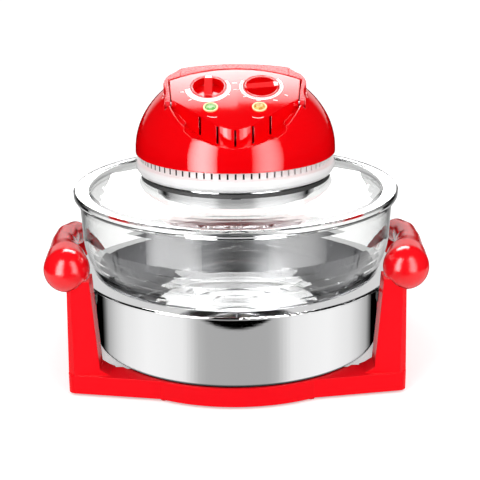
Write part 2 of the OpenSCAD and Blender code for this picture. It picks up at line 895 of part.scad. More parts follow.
module cord_gland() {
  color("#222222") gland_place() difference() {
    union() {
      translate([0, 0, 0.6]) cylinder(r = gland_r, h = 2.4);
      translate([0, 0, -6.5]) cylinder(r = gland_r - 1.9, h = 8);
      translate([0, 0, -6.5]) cylinder(r = gland_r, h = 2.5);
    }
    translate([0, 0, -8]) cylinder(r = 3.6, h = 14);
  }
}

// ---------- bail ----------
module slab(low, high) {
  translate([0, 0, panel_z + low]) rotate([panel_tilt, 0, 0])
    translate([-room / 2, -room, 0]) cube([room, 2 * room, (high - low) * cos(panel_tilt)]);
}

// plan of the folded bail: arms beside the console, bar behind it
function bail_half() = concat(
  [[arm_in, pivot_y], [arm_out, pivot_y], [arm_out, pivot_y + 14]],
  arc(arm_rear_out - bail_corner_r, bail_corner_y, bail_corner_r, 0, 62, 8),
  arc(0, bail_mid, back_arc_r + bar_gap + bail_w, 90 - bail_turn, 90, 8)
);

function bail_inner() = concat(
  arc(0, bail_mid, back_arc_r + bar_gap, 90, 90 - inner_turn, 8),
  [[console_half_w + bar_gap, back_corner_y], [arm_in, pivot_y]]
);

module bail_plan() {
  both_sides() polygon(concat(bail_half(), bail_inner()));
}

// rounds off the bar's rear edge
module bail_envelope() {
  r = back_arc_r + bar_gap;
  translate([0, bail_mid, 0]) rotate_extrude($fn = 128)
    polygon([
      [0, cover_z], [r + bail_w, cover_z], [r + bail_w, bar_low + 2.5], [r + bail_w - 1.5, bar_low + 6],
      [r + bail_w - 4, bar_low + 8.8], [r + bail_w - 7, bar_low + 10.8], [0, bar_low + 12]
    ]);
}

// room for the console's rear edge: the bar's inner face leans with the panel, so the bar clears
// the edge as it turns up about the pivot
module lift_relief() {
  translate([0, 0, panel_z]) rotate([panel_tilt, 0, 0]) translate([0, 0, -bail_t - 5])
    linear_extrude(bail_t + 6) polygon([for (p = console_plan(0.5 - bar_gap)) [p[0], p[1] / cos(panel_tilt)]]);
}

module bail_blank() {
  intersection() {
    bail_envelope();
    union() {
      intersection() {
        translate([0, 0, cover_z]) linear_extrude(room) bail_plan();
        slab(-bail_t, 0);
      }
      difference() {
        translate([0, 0, bar_low]) linear_extrude(room / 4) bail_plan();
        above_panel();
        translate([-room / 2, 2 - room, 0]) cube([room, room, 2 * room]);
      }
    }
  }
}

module bail_form() {
  difference() {
    bail_blank();
    lift_relief();
  }
}

module bail_handle() {
  color("red") difference() {
    union() {
      bail_form();
      both_sides() translate([arm_in, pivot_y, pivot_z]) rotate([0, 90, 0])
        cylinder(r = bail_t / 2 * cos(panel_tilt), h = arm_out - arm_in);
    }
    intersection() {
      translate([-grip_half_w - 0.2, -room / 2, 0]) cube([2 * grip_half_w + 0.4, room, 2 * room]);
      slab(-grip_h, 30);
    }
    pivot_bore(pin_r + run_fit, arm_in - 1, arm_out + 1);
  }
}

module bail_grip() {
  color("crimson") intersection() {
    bail_form();
    translate([-grip_half_w, -room / 2, 0]) cube([2 * grip_half_w, room, 2 * room]);
    slab(-grip_h, 30);
  }
}

module bail_pins() {
  color("silver") pivot_bore(pin_r, side_corner_x - 7, arm_out - 0.5);
}

// ---------- motor and fans ----------
module motor_posts() {
  color("silver") post_places() {
    translate([0, 0, pan_top + can_t]) cylinder(r = 2, h = bracket_z - pan_top - can_t);
    translate([0, 0, shield_z + shield_t]) cylinder(r = 3, h = bracket_z - shield_z - shield_t);
  }
}

module motor_bracket() {
  color("silver") difference() {
    union() {
      translate([0, 0, bracket_z]) {
        for (a = [45, 135]) rotate(a) translate([-post_ring_r - 6, -6, 0])
          cube([2 * post_ring_r + 12, 12, plate_t]);
        cylinder(r = 20, h = plate_t);
      }
      translate([0, 0, bridge_z]) linear_extrude(plate_t)
        polygon([[-27, -23], [27, -23], [10, 10], [-10, 10]]);
      both_sides() translate([pillar_at[0], pillar_at[1], bracket_z])
        cylinder(r = 2, h = bridge_z - bracket_z + 0.5);
    }
    translate([0, 0, bracket_z - 1]) cylinder(r = 6, h = 60);
  }
}

module motor_bushes() {
  color("goldenrod") for (z = [bracket_z, bridge_z]) translate([0, 0, z]) difference() {
    union() {
      translate([0, 0, -2]) cylinder(r = 5.7, h = 3.6);
      translate([0, 0, plate_t]) cylinder(r = 7.5, h = 1.4);
    }
    translate([0, 0, -5]) cylinder(r = shaft_r + run_fit, h = 12);
  }
}

module motor_core() {
  color("#8a8f96") translate([0, 0, core_z]) difference() {
    translate([-core_half_w, core_front, 0]) cube([2 * core_half_w, core_back - core_front, core_h]);
    translate([0, 0, -1]) cylinder(r = rotor_r + 0.5, h = core_h + 2);
    translate([-16, 23, -1]) cube([32, 11, core_h + 2]);
    both_sides() translate([pillar_at[0], pillar_at[1], -1]) cylinder(r = 2.3, h = core_h + 2);
  }
}

module motor_coil() {
  color("peru") translate([0, 0, core_z]) difference() {
    translate([-13, 25, -5]) cube([26, 29, core_h + 10]);
    translate([-20, 34 - seat, -seat]) cube([40, 12 + 2 * seat, core_h + 2 * seat]);
  }
}

module on_shaft(z, h) {
  difference() {
    children();
    translate([0, 0, z - 1]) cylinder(r = shaft_r + run_fit, h = h + 2);
  }
}

module motor_shaft() {
  color("silver") translate([0, 0, shaft_bottom]) cylinder(r = shaft_r, h = shaft_top - shaft_bottom);
}

module motor_rotor() {
  color("#70757c") on_shaft(core_z, core_h)
    translate([0, 0, core_z]) cylinder(r = rotor_r, h = core_h);
}

module cooling_fan() {
  color("silver") on_shaft(cool_z, 12) translate([0, 0, cool_z]) {
    cylinder(r = cool_r, h = 1);
    cylinder(r = 9, h = 10);
    for (a = [0:30:330]) rotate(a) translate([20, -0.5, 0.5]) cube([cool_r - 21, 1, 9]);
  }
}

module convection_fan() {
  color("silver") on_shaft(fan_z - hub_h, hub_h) {
    translate([0, 0, fan_z - 1]) cylinder(r = fan_r - 4, h = 1);
    translate([0, 0, fan_z - hub_h]) cylinder(r = 8, h = hub_h);
    for (a = [0:45:315]) rotate(a) translate([14, 0, fan_z - hub_h + 1]) rotate([0, 0, 18])
      cube([fan_r - 16, 1, hub_h - 1.5]);
  }
}

module fan_nut() {
  color("goldenrod") difference() {
    translate([0, 0, nut_z]) cylinder(r = 5.5, h = nut_h, $fn = 6);
    translate([0, 0, nut_z - 1]) cylinder(r = shaft_r + run_fit, h = nut_h + 2);
  }
}

// ---------- assembly ----------
base_frame();
left_handle();
right_handle();
rest_pads();
feet();
handle_screws();
steel_pot();
glass_bowl();
lid_glass();
neck_gasket();
heater_can();
reflector_pan();
heat_shield();
lamp_guard();
halogen_tube();
lamp_holders();
vent_collar();
head_cover();
head_screws();
motor_posts();
motor_bracket();
motor_core();
motor_coil();
motor_bushes();
thermostat();
timer_clock();
power_lens();
heat_lens();
lens_bezels();
indicator_bulbs();
safety_switch();
switch_plunger();
terminal_block();
cord_gland();
bail_pins();
bail_handle();
bail_grip();
temperature_knob();
timer_knob();
motor_shaft();
motor_rotor();
cooling_fan();
convection_fan();
fan_nut();
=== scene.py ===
import json
import math
import bmesh
import bpy
from mathutils import Matrix, Vector

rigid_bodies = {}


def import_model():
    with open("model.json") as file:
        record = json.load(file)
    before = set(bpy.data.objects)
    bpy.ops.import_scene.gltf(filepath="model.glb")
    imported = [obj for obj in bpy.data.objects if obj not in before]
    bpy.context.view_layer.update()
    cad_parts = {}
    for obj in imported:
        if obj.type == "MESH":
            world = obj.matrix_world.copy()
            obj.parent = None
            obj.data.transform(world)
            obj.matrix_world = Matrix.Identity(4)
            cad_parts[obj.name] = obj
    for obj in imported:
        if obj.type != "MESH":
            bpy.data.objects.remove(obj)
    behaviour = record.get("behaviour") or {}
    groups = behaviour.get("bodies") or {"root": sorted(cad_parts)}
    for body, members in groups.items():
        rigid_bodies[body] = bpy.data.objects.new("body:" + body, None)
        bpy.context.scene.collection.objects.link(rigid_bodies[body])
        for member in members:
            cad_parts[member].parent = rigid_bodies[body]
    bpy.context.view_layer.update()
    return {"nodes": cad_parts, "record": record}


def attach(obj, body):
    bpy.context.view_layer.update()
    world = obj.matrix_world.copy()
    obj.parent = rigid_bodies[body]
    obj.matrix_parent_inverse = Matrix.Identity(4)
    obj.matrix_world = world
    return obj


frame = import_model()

nodes = frame["nodes"]
millimetre = 0.001


# camera at the photo's angle, angles in degrees
cameraSettings = {
    "place": (0.0, -1.16357, 0.4934),
    "pitchDown": 17.73,
    "rollCounter": -0.458,
    "yawRight": 0.194,
    "lens": 88.03,
    "sensor": 36.0,
}


def makeCamera(s):
    data = bpy.data.cameras.new("viewCamera")
    data.lens = s["lens"]
    data.sensor_width = s["sensor"]
    data.clip_start = 0.01
    cam = bpy.data.objects.new("viewCamera", data)
    bpy.context.scene.collection.objects.link(cam)
    turn = (Matrix.Rotation(math.radians(-s["yawRight"]), 4, "Z")
            @ Matrix.Rotation(math.radians(90 - s["pitchDown"]), 4, "X")
            @ Matrix.Rotation(math.radians(s["rollCounter"]), 4, "Z"))
    cam.matrix_world = Matrix.Translation(s["place"]) @ turn
    bpy.context.scene.camera = cam


makeCamera(cameraSettings)
print("stage: camera")


# small helpers for shader nodes
def startMaterial(name):
    mat = bpy.data.materials.new(name)
    mat.use_nodes = True
    tree = mat.node_tree
    tree.nodes.clear()
    out = tree.nodes.new("ShaderNodeOutputMaterial")
    shader = tree.nodes.new("ShaderNodeBsdfPrincipled")
    tree.links.new(shader.outputs["BSDF"], out.inputs["Surface"])
    return mat, tree, shader


def objectNoise(tree, scale, detail=2.0, stretch=(1, 1, 1)):
    coords = tree.nodes.new("ShaderNodeTexCoord")
    mapping = tree.nodes.new("ShaderNodeMapping")
    mapping.inputs["Scale"].default_value = stretch
    noise = tree.nodes.new("ShaderNodeTexNoise")
    noise.inputs["Scale"].default_value = scale
    noise.inputs["Detail"].default_value = detail
    tree.links.new(coords.outputs["Object"], mapping.inputs["Vector"])
    tree.links.new(mapping.outputs["Vector"], noise.inputs["Vector"])
    return noise.outputs["Fac"]


def mathNode(tree, operation, first, second):
    node = tree.nodes.new("ShaderNodeMath")
    node.operation = operation
    for socket, value in zip(node.inputs, (first, second)):
        if isinstance(value, (int, float)):
            socket.default_value = value
        else:
            tree.links.new(value, socket)
    return node.outputs[0]


def rampNode(tree, value, source, target=(0.0, 1.0)):
    ramp = tree.nodes.new("ShaderNodeMapRange")
    for key, number in zip(("From Min", "From Max", "To Min", "To Max"), (*source, *target)):
        ramp.inputs[key].default_value = number
    tree.links.new(value, ramp.inputs["Value"])
    return ramp.outputs["Result"]


def remap(tree, value, target):
    return rampNode(tree, value, (0.0, 1.0), target)


# kind is FLOAT or RGBA, and first and second are sockets or plain values
def mixBy(tree, factor, first, second, kind):
    mix = tree.nodes.new("ShaderNodeMix")
    mix.data_type = kind
    wanted = {"FLOAT": "VALUE", "RGBA": "RGBA"}[kind]
    sockets = [i for i in mix.inputs if i.type == wanted and i.name in ("A", "B")]
    for socket, value in zip(sockets, (first, second)):
        if isinstance(value, (float, tuple)):
            socket.default_value = value
        else:
            tree.links.new(value, socket)
    tree.links.new(factor, mix.inputs["Factor"])
    return [o for o in mix.outputs if o.enabled][0]


def blendColour(tree, value, first, second):
    return mixBy(tree, value, (*first, 1), (*second, 1), "RGBA")


bumpDistance = 0.0002


def roundEdges(tree, shader, radius, height, strength):
    bevel = tree.nodes.new("ShaderNodeBevel")
    bevel.samples = 6
    bevel.inputs["Radius"].default_value = radius
    bump = tree.nodes.new("ShaderNodeBump")
    bump.inputs["Strength"].default_value = strength
    bump.inputs["Distance"].default_value = bumpDistance
    tree.links.new(height, bump.inputs["Height"])
    tree.links.new(bevel.outputs["Normal"], bump.inputs["Normal"])
    tree.links.new(bump.outputs["Normal"], shader.inputs["Normal"])


# what a finish has unless it says otherwise, with edges in mm
plasticLook = {"toneScale": 18.0, "grainScale": 420.0, "specular": 0.5, "edge": 0.8, "bump": 0.03}
metalLook = {"cloudScale": 9.0, "spin": (30, 30, 2600), "edge": 0.4, "bump": 0.02}
glassLook = {"ior": 1.47, "smearScale": 14.0}
# lens cells: the paler second colour in each cell is a painted glint on the facets
lensLook = {"glintCells": 420.0, "rough": (0.08, 0.2), "edge": 0.2, "bump": 0.35}


def plasticMaterial(own):
    s = {**plasticLook, **own}
    mat, tree, shader = startMaterial(s["name"])
    tone = objectNoise(tree, s["toneScale"])
    tree.links.new(blendColour(tree, tone, s["colour"], s["shade"]), shader.inputs["Base Color"])
    grain = objectNoise(tree, s["grainScale"], 3.0)
    tree.links.new(remap(tree, grain, s["rough"]), shader.inputs["Roughness"])
    shader.inputs["Specular IOR Level"].default_value = s["specular"]
    roundEdges(tree, shader, s["edge"] * millimetre, grain, s["bump"])
    return mat


# 1 on the pot's inner wall and on the outer part of its floor, 0 elsewhere: where the steel is rougher and painted
# shade darkens its colour
def satinAndShadeMask(tree, s):
    coords = tree.nodes.new("ShaderNodeTexCoord")
    flat = tree.nodes.new("ShaderNodeVectorMath")
    flat.operation = "MULTIPLY"
    flat.inputs[1].default_value = (1, 1, 0)
    reach = tree.nodes.new("ShaderNodeVectorMath")
    reach.operation = "LENGTH"
    split = tree.nodes.new("ShaderNodeSeparateXYZ")
    tree.links.new(coords.outputs["Object"], flat.inputs[0])
    tree.links.new(coords.outputs["Object"], split.inputs["Vector"])
    tree.links.new(flat.outputs["Vector"], reach.inputs[0])
    near = rampNode(tree, reach.outputs["Value"], s["radii"], (1, 0))
    high = rampNode(tree, split.outputs["Z"], s["heights"])
    outer = rampNode(tree, reach.outputs["Value"], s["floor"])
    return mathNode(tree, "MULTIPLY", near, mathNode(tree, "MAXIMUM", high, outer))


def metalMaterial(own):
    s = {**metalLook, **own}
    mat, tree, shader = startMaterial(s["name"])
    shader.inputs["Metallic"].default_value = 1.0
    cloud = objectNoise(tree, s["cloudScale"])
    colour = blendColour(tree, cloud, s["colour"], s["shade"])
    spun = objectNoise(tree, 1.0, stretch=s["spin"])
    rough = remap(tree, spun, s["rough"])
    if "satin" in s:
        satinShadePart = satinAndShadeMask(tree, s["satin"])
        rough = mixBy(tree, satinShadePart, rough, s["satin"]["rough"], "FLOAT")
        # painted shade: the inner wall and the outer floor take a darker grey colour
        colour = mixBy(tree, satinShadePart, colour, (*s["satin"]["colour"], 1), "RGBA")
    tree.links.new(colour, shader.inputs["Base Color"])
    tree.links.new(rough, shader.inputs["Roughness"])
    roundEdges(tree, shader, s["edge"] * millimetre, spun, s["bump"])
    return mat


def glassMaterial(own):
    s = {**glassLook, **own}
    mat, tree, shader = startMaterial(s["name"])
    shader.inputs["Base Color"].default_value = (*s["colour"], 1)
    shader.inputs["Transmission Weight"].default_value = 1.0
    shader.inputs["IOR"].default_value = s["ior"]
    smear = objectNoise(tree, s["smearScale"])
    tree.links.new(remap(tree, smear, s["rough"]), shader.inputs["Roughness"])
    return mat


# each Voronoi cell mixes the lens colour with its paler shade, painted glints on the facets; roughness and bump also
# change per cell
def lensMaterial(own):
    s = {**lensLook, **own}
    mat, tree, shader = startMaterial(s["name"])
    coords = tree.nodes.new("ShaderNodeTexCoord")
    glintCells = tree.nodes.new("ShaderNodeTexVoronoi")
    glintCells.inputs["Scale"].default_value = s["glintCells"]
    split = tree.nodes.new("ShaderNodeSeparateXYZ")
    tree.links.new(coords.outputs["Object"], glintCells.inputs["Vector"])
    tree.links.new(glintCells.outputs["Color"], split.inputs["Vector"])
    tree.links.new(blendColour(tree, split.outputs["X"], s["colour"], s["shade"]), shader.inputs["Base Color"])
    tree.links.new(remap(tree, split.outputs["Y"], s["rough"]), shader.inputs["Roughness"])
    roundEdges(tree, shader, s["edge"] * millimetre, split.outputs["Z"], s["bump"])
    return mat


# the pot inside, rougher and with painted shade in its colour: radii of its wall, heights where the wall starts and
# radii where its floor turns darker, in metres
satinAndShadeInside = {"radii": (0.1469, 0.1472), "heights": (0.024, 0.034), "floor": (0.104, 0.108), "rough": 0.36,
               "colour": (0.42, 0.42, 0.43)}

finishes = {
    "redPlastic": plasticMaterial({"name": "redPlastic", "colour": (0.92, 0.0012, 0.004),
                                   "shade": (0.86, 0.0008, 0.003), "rough": (0.03, 0.05), "edge": 1.1}),
    "gripPlastic": plasticMaterial({"name": "gripPlastic", "colour": (1.0, 0.003, 0.01),
                                    "shade": (0.96, 0.0025, 0.008), "rough": (0.12, 0.16), "edge": 4.0}),
    "bailPlastic": plasticMaterial({"name": "bailPlastic", "colour": (0.92, 0.002, 0.01),
                                    "shade": (0.8, 0.002, 0.008), "rough": (0.22, 0.34), "edge": 1.1,
                                    "specular": 0.32, "toneScale": 60.0}),
    "standPlastic": plasticMaterial({"name": "standPlastic", "colour": (1.0, 0.004, 0.012),
                                     "shade": (0.97, 0.003, 0.01), "rough": (0.2, 0.3), "edge": 1.1,
                                     "specular": 0.06}),
    "blackRubber": plasticMaterial({"name": "blackRubber", "colour": (0.02, 0.02, 0.02),
                                    "shade": (0.035, 0.035, 0.035), "rough": (0.5, 0.7), "bump": 0.2}),
    "blackPlastic": plasticMaterial({"name": "blackPlastic", "colour": (0.015, 0.015, 0.016),
                                     "shade": (0.03, 0.03, 0.03), "rough": (0.3, 0.4)}),
    "whitePlastic": plasticMaterial({"name": "whitePlastic", "colour": (0.97, 0.97, 0.97),
                                     "shade": (0.94, 0.94, 0.94), "rough": (0.2, 0.28), "edge": 0.5}),
    "creamPlastic": plasticMaterial({"name": "creamPlastic", "colour": (0.93, 0.8, 0.38),
                                     "shade": (0.9, 0.76, 0.33), "rough": (0.2, 0.3), "edge": 0.2}),
    "ceramic": plasticMaterial({"name": "ceramic", "colour": (0.8, 0.77, 0.7), "shade": (0.72, 0.69, 0.62),
                                "rough": (0.55, 0.75), "bump": 0.2}),
    "steel": metalMaterial({"name": "polishedSteel", "colour": (0.8, 0.8, 0.8), "shade": (0.77, 0.77, 0.775),
                            "rough": (0.02, 0.05), "satin": satinAndShadeInside}),
    "chrome": metalMaterial({"name": "chrome", "colour": (0.86, 0.86, 0.87), "shade": (0.82, 0.82, 0.83),
                             "rough": (0.02, 0.04)}),
    "sheetSteel": metalMaterial({"name": "sheetSteel", "colour": (0.55, 0.56, 0.58),
                                 "shade": (0.45, 0.46, 0.48), "rough": (0.3, 0.45)}),
    "zinc": metalMaterial({"name": "zincPlate", "colour": (0.62, 0.62, 0.62), "shade": (0.5, 0.5, 0.52),
                           "rough": (0.3, 0.4)}),
    "bronze": metalMaterial({"name": "bronze", "colour": (0.6, 0.42, 0.2), "shade": (0.5, 0.34, 0.16),
                             "rough": (0.35, 0.5)}),
    "copper": metalMaterial({"name": "copperWire", "colour": (0.55, 0.22, 0.08), "shade": (0.4, 0.15, 0.05),
                             "rough": (0.25, 0.35), "spin": (900, 900, 900), "bump": 0.4}),
    "aluminium": metalMaterial({"name": "aluminium", "colour": (0.72, 0.73, 0.74),
                                "shade": (0.65, 0.66, 0.67), "rough": (0.25, 0.35)}),
    "clearGlass": glassMaterial({"name": "clearGlass", "colour": (0.99, 0.995, 0.99), "rough": (0.0, 0.01)}),
    "lampGlass": glassMaterial({"name": "lampGlass", "colour": (0.98, 0.93, 0.85), "rough": (0.2, 0.3)}),
    # the paler second lens colours are painted facet glints
    "greenLens": lensMaterial({"name": "greenLens", "colour": (0.1, 0.5, 0.05), "shade": (0.6, 0.88, 0.45)}),
    "amberLens": lensMaterial({"name": "amberLens", "colour": (0.62, 0.2, 0.005), "shade": (0.98, 0.7, 0.2)}),
    "matteRed": plasticMaterial({"name": "matteRed", "colour": (0.95, 0.001, 0.003),
                                 "shade": (0.9, 0.001, 0.003), "rough": (0.5, 0.6), "edge": 0.3,
                                 "specular": 0.02}),
    "printWhite": plasticMaterial({"name": "printWhite", "colour": (0.95, 0.93, 0.93),
                                   "shade": (0.92, 0.9, 0.9), "rough": (0.4, 0.5), "edge": 0.05}),
    # painted shade: near black for the sheet behind the collar's slots
    "slotShadeBlack": plasticMaterial({"name": "slotShadeBlack", "colour": (0.004, 0.004, 0.004),
                                  "shade": (0.006, 0.005, 0.005), "rough": (0.7, 0.9)}),
}

slotFinish = {
    "red_plastic": "redPlastic", "black_rubber": "blackRubber", "zinc": "zinc", "polished_steel": "steel",
    "clear_glass": "clearGlass", "chrome": "chrome", "sheet_steel": "sheetSteel", "lamp_glass": "lampGlass",
    "ceramic": "ceramic", "white_plastic": "whitePlastic", "copper_winding": "copper", "bronze": "bronze",
    "green_lens": "greenLens", "amber_lens": "amberLens", "cream_plastic": "creamPlastic",
    "black_plastic": "blackPlastic", "aluminium": "aluminium",
}


def dress(obj, finish):
    obj.data.materials.clear()
    obj.data.materials.append(finishes[finish])


ownFinish = {
    "left_handle": "gripPlastic", "right_handle": "gripPlastic", "base_frame": "standPlastic", "feet": "standPlastic",
    "bail_handle": "bailPlastic", "bail_grip": "bailPlastic",
}
# the photo shows no red in the steel, and glass within a reflection would go dark
notReflected = ("left_handle", "right_handle", "base_frame", "feet", "glass_bowl", "lid_glass")

for row in frame["record"]["subparts"]:
    dress(nodes[row["node"]], ownFinish.get(row["node"], slotFinish[row["material_slot"]]))
for name in notReflected:
    nodes[name].visible_glossy = False
print("stage: finishes on the frame")


# helpers for new pieces
def meshObject(name, points, faces):
    mesh = bpy.data.meshes.new(name)
    mesh.from_pydata(points, [], faces)
    mesh.update()
    obj = bpy.data.objects.new(name, mesh)
    bpy.context.scene.collection.objects.link(obj)
    return obj


class Shape:
    def __init__(self):
        self.points = []
        self.faces = []

    def add(self, points, faces):
        start = len(self.points)
        self.points += points
        self.faces += [[i + start for i in face] for face in faces]


# print on the control panel, in mm on the panel's plane: circles as x, y, radius and ticks as
# x, y, length, width, turn
panelSettings = {
    "tilt": 26.0,
    "height": 296.6,
    "lift": 0.06,
    "rings": [
        {"outer": (-26.6, -25.6, 22.6), "inner": (-25.8, -24.0, 18.4), "turn": (187, 392)},
        {"outer": (25.9, -24.0, 21.6), "inner": (25.9, -24.0, 20.0), "turn": (150, 398)},
        {"outer": (25.9, -24.0, 19.3), "inner": (25.9, -24.0, 18.4), "turn": (150, 398)},
    ],
    "ticks": [(-51.6, -31.9, 3.4, 1.0, 8), (-43.5, -44.9, 3.4, 1.2, 30), (-23.4, -46.8, 2.6, 1.2, 80),
              (-6.7, -36.4, 3.4, 1.0, -20), (10.1, -39.7, 4.4, 1.3, 10), (23.0, -46.1, 4.4, 1.3, 0),
              (39.2, -46.4, 4.4, 1.3, -15), (49.8, -38.5, 4.0, 1.3, -25), (-0.2, -17.8, 5.2, 0.8, 0),
              (1.1, -28.5, 5.2, 0.8, 0)],
    "arcs": [[(-26.5, -70.3), (-21.9, -73.4), (-17.2, -72.0)], [(16.3, -72.4), (21.7, -75.6), (27.2, -72.6)]],
    "arcWidth": 0.7,
    "ringSteps": 60,
    "arcSteps": 12,
}


def panelPoint(s, x, v, lift):
    c, t = math.cos(math.radians(s["tilt"])), math.sin(math.radians(s["tilt"]))
    return (x * millimetre, (v * c - t * lift) * millimetre, (s["height"] + v * t + c * lift) * millimetre)


def strip(shape, s, left, right):
    n = len(left)
    points = [panelPoint(s, x, v, s["lift"]) for x, v in left + right]
    shape.add(points, [[i, i + 1, n + i + 1, n + i] for i in range(n - 1)])


def circlePoints(circle, turn, steps):
    x, v, r = circle
    turns = [math.radians(turn[0] + (turn[1] - turn[0]) * i / steps) for i in range(steps + 1)]
    return [(x + r * math.cos(a), v + r * math.sin(a)) for a in turns]


def makePrint(s):
    shape = Shape()
    for ring in s["rings"]:
        inner, outer = (circlePoints(ring[key], ring["turn"], s["ringSteps"]) for key in ("inner", "outer"))
        strip(shape, s, inner, outer)
    for bend in s["arcs"]:
        path = []
        for i in range(s["arcSteps"] + 1):
            t = i / s["arcSteps"]
            path.append(tuple((1 - t) ** 2 * a + 2 * t * (1 - t) * b + t * t * c for a, b, c in zip(*bend)))
        half = s["arcWidth"] / 2
        strip(shape, s, [(x, v + half) for x, v in path], [(x, v - half) for x, v in path])
    obj = meshObject("panelPrint", shape.points, shape.faces)
    turnUp(obj)
    dress(obj, "printWhite")
    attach(obj, "lid")


def turnUp(obj):
    work = bmesh.new()
    work.from_mesh(obj.data)
    up = Vector((0, -math.sin(math.radians(panelSettings["tilt"])), math.cos(math.radians(panelSettings["tilt"]))))
    for face in work.faces:
        face.normal_update()
        if face.normal.dot(up) < 0:
            face.normal_flip()
    work.to_mesh(obj.data)
    work.free()


makePrint(panelSettings)


# a node tree with named inputs, baked to a plain mesh
class NodeTree:
    def __init__(self, name, numbers):
        self.tree = bpy.data.node_groups.new(name, "GeometryNodeTree")
        face = self.tree.interface
        face.new_socket("Geometry", in_out="INPUT", socket_type="NodeSocketGeometry")
        face.new_socket("Geometry", in_out="OUTPUT", socket_type="NodeSocketGeometry")
        self.ids = {}
        for key, number in numbers.items():
            kind = "NodeSocketInt" if isinstance(number, int) else "NodeSocketFloat"
            self.ids[key] = face.new_socket(key, in_out="INPUT", socket_type=kind).identifier
        self.numbers = numbers
        self.given = self.tree.nodes.new("NodeGroupInput").outputs

    def node(self, kind, links, **options):
        node = self.tree.nodes.new(kind)
        for key, value in options.items():
            setattr(node, key, value)
        for key, value in links.items():
            if isinstance(value, bpy.types.NodeSocket):
                self.tree.links.new(value, node.inputs[key])
            else:
                node.inputs[key].default_value = value
        return node

    def math(self, operation, first, second=0.0):
        return self.node("ShaderNodeMath", {0: first, 1: second}, operation=operation).outputs[0]

    def bake(self, obj, last, finish):
        real = self.node("GeometryNodeRealizeInstances", {"Geometry": last})
        paint = self.node("GeometryNodeSetMaterial", {"Geometry": real.outputs[0], "Material": finishes[finish]})
        self.tree.links.new(paint.outputs[0], self.tree.nodes.new("NodeGroupOutput").inputs[0])
        modifier = obj.modifiers.new("shape", "NODES")
        modifier.node_group = self.tree
        for key, number in self.numbers.items():
            modifier[self.ids[key]] = number
        seen = obj.evaluated_get(bpy.context.evaluated_depsgraph_get())
        mesh = bpy.data.meshes.new_from_object(seen)
        obj.modifiers.remove(modifier)
        obj.data = mesh
        dress(obj, finish)


def makeTicks(s):
    base = meshObject("panelTicks", [(x, v, 0) for x, v, *_ in s["ticks"]], [])
    for name, column in (("length", 2), ("width", 3), ("turn", 4)):
        layer = base.data.attributes.new(name, "FLOAT", "POINT")
        for i, row in enumerate(s["ticks"]):
            layer.data[i].value = row[column]
    g = NodeTree("tickMarks", {"Tilt": s["tilt"], "Height": s["height"], "Lift": s["lift"], "Unit": millimetre})
    read = {n: g.node("GeometryNodeInputNamedAttribute", {"Name": n}, data_type="FLOAT").outputs[0]
            for n in ("length", "width", "turn")}
    bar = g.node("GeometryNodeMeshGrid", {"Size X": 1.0, "Size Y": 1.0, "Vertices X": 2, "Vertices Y": 2})
    turned = g.node("ShaderNodeCombineXYZ", {"Z": g.math("RADIANS", read["turn"])})
    sized = g.node("ShaderNodeCombineXYZ", {"X": read["length"], "Y": read["width"], "Z": 1.0})
    points = g.node("GeometryNodeMeshToPoints", {"Mesh": g.given["Geometry"]})
    marks = g.node("GeometryNodeInstanceOnPoints", {"Points": points.outputs[0], "Instance": bar.outputs[0],
                                                    "Rotation": turned.outputs[0], "Scale": sized.outputs[0]})
    flat = g.node("GeometryNodeRealizeInstances", {"Geometry": marks.outputs[0]})
    tilt = g.math("RADIANS", g.given["Tilt"])
    unit, lift = g.given["Unit"], g.given["Lift"]
    away = g.math("MULTIPLY", g.math("MULTIPLY", g.math("SINE", tilt), lift), g.math("MULTIPLY", unit, -1.0))
    up = g.math("MULTIPLY", g.math("ADD", g.given["Height"], g.math("MULTIPLY", g.math("COSINE", tilt), lift)), unit)
    place = g.node("ShaderNodeCombineXYZ", {"Y": away, "Z": up})
    lean = g.node("ShaderNodeCombineXYZ", {"X": tilt})
    shrink = g.node("ShaderNodeCombineXYZ", {"X": unit, "Y": unit, "Z": unit})
    last = g.node("GeometryNodeTransform", {"Geometry": flat.outputs[0], "Translation": place.outputs[0],
                                            "Rotation": lean.outputs[0], "Scale": shrink.outputs[0]})
    g.bake(base, last.outputs[0], "printWhite")
    turnUp(base)
    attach(base, "lid")


makeTicks(panelSettings)


# white tip and matte cap on each dial's finger bar, in mm from the dial's middle
barParts = {
    "Tip": {"widths": (6.4, 5.0), "from": 12.4, "to": 16.5, "low": 1.2, "high": 1.75,
            "finish": "printWhite", "slot": "white_plastic"},
    "Cap": {"widths": (8.1, 8.1), "from": -15.0, "to": 12.4, "low": 1.2, "high": 1.56,
            "finish": "matteRed", "slot": "red_plastic"},
}
dials = {
    "temperature": {"x": -26.0, "turn": 0, "body": "temperature_dial"},
    "timer": {"x": 26.0, "turn": -83, "body": "timer_dial"},
}
dialLine = -21.0  # how far forward of the panel's top edge the dials lie


def makeBarPart(name, place, turn, body, s):
    a = math.radians(turn)
    points = []
    for lift in (s["low"], s["high"]):
        for side, end in ((-1, 0), (1, 0), (1, 1), (-1, 1)):
            dx, dv = side * s["widths"][end] / 2, s["to"] if end else s["from"]
            points.append(panelPoint(panelSettings, place[0] + dx * math.cos(a) - dv * math.sin(a),
                                     place[1] + dx * math.sin(a) + dv * math.cos(a), lift))
    faces = [[3, 2, 1, 0], [4, 5, 6, 7], [0, 1, 5, 4], [1, 2, 6, 5], [2, 3, 7, 6], [3, 0, 4, 7]]
    obj = meshObject(name, points, faces)
    dress(obj, s["finish"])
    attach(obj, body)


knobDown = dialLine / math.cos(math.radians(panelSettings["tilt"]))
for part, settings in barParts.items():
    for dial, d in dials.items():
        makeBarPart(dial + part, (d["x"], knobDown), d["turn"], d["body"], settings)


# a black sheet behind the collar's slots, painted shade that makes them read dark: close to the face on the left and
# deeper on the right so the slots fade towards the right, in mm and degrees
slotShadeSettings = {"radii": (96.38, 93.0), "turns": (178, 272, 300, 362), "thickness": 0.3, "low": 211.5, "high": 216.7,
                 "steps": 120}


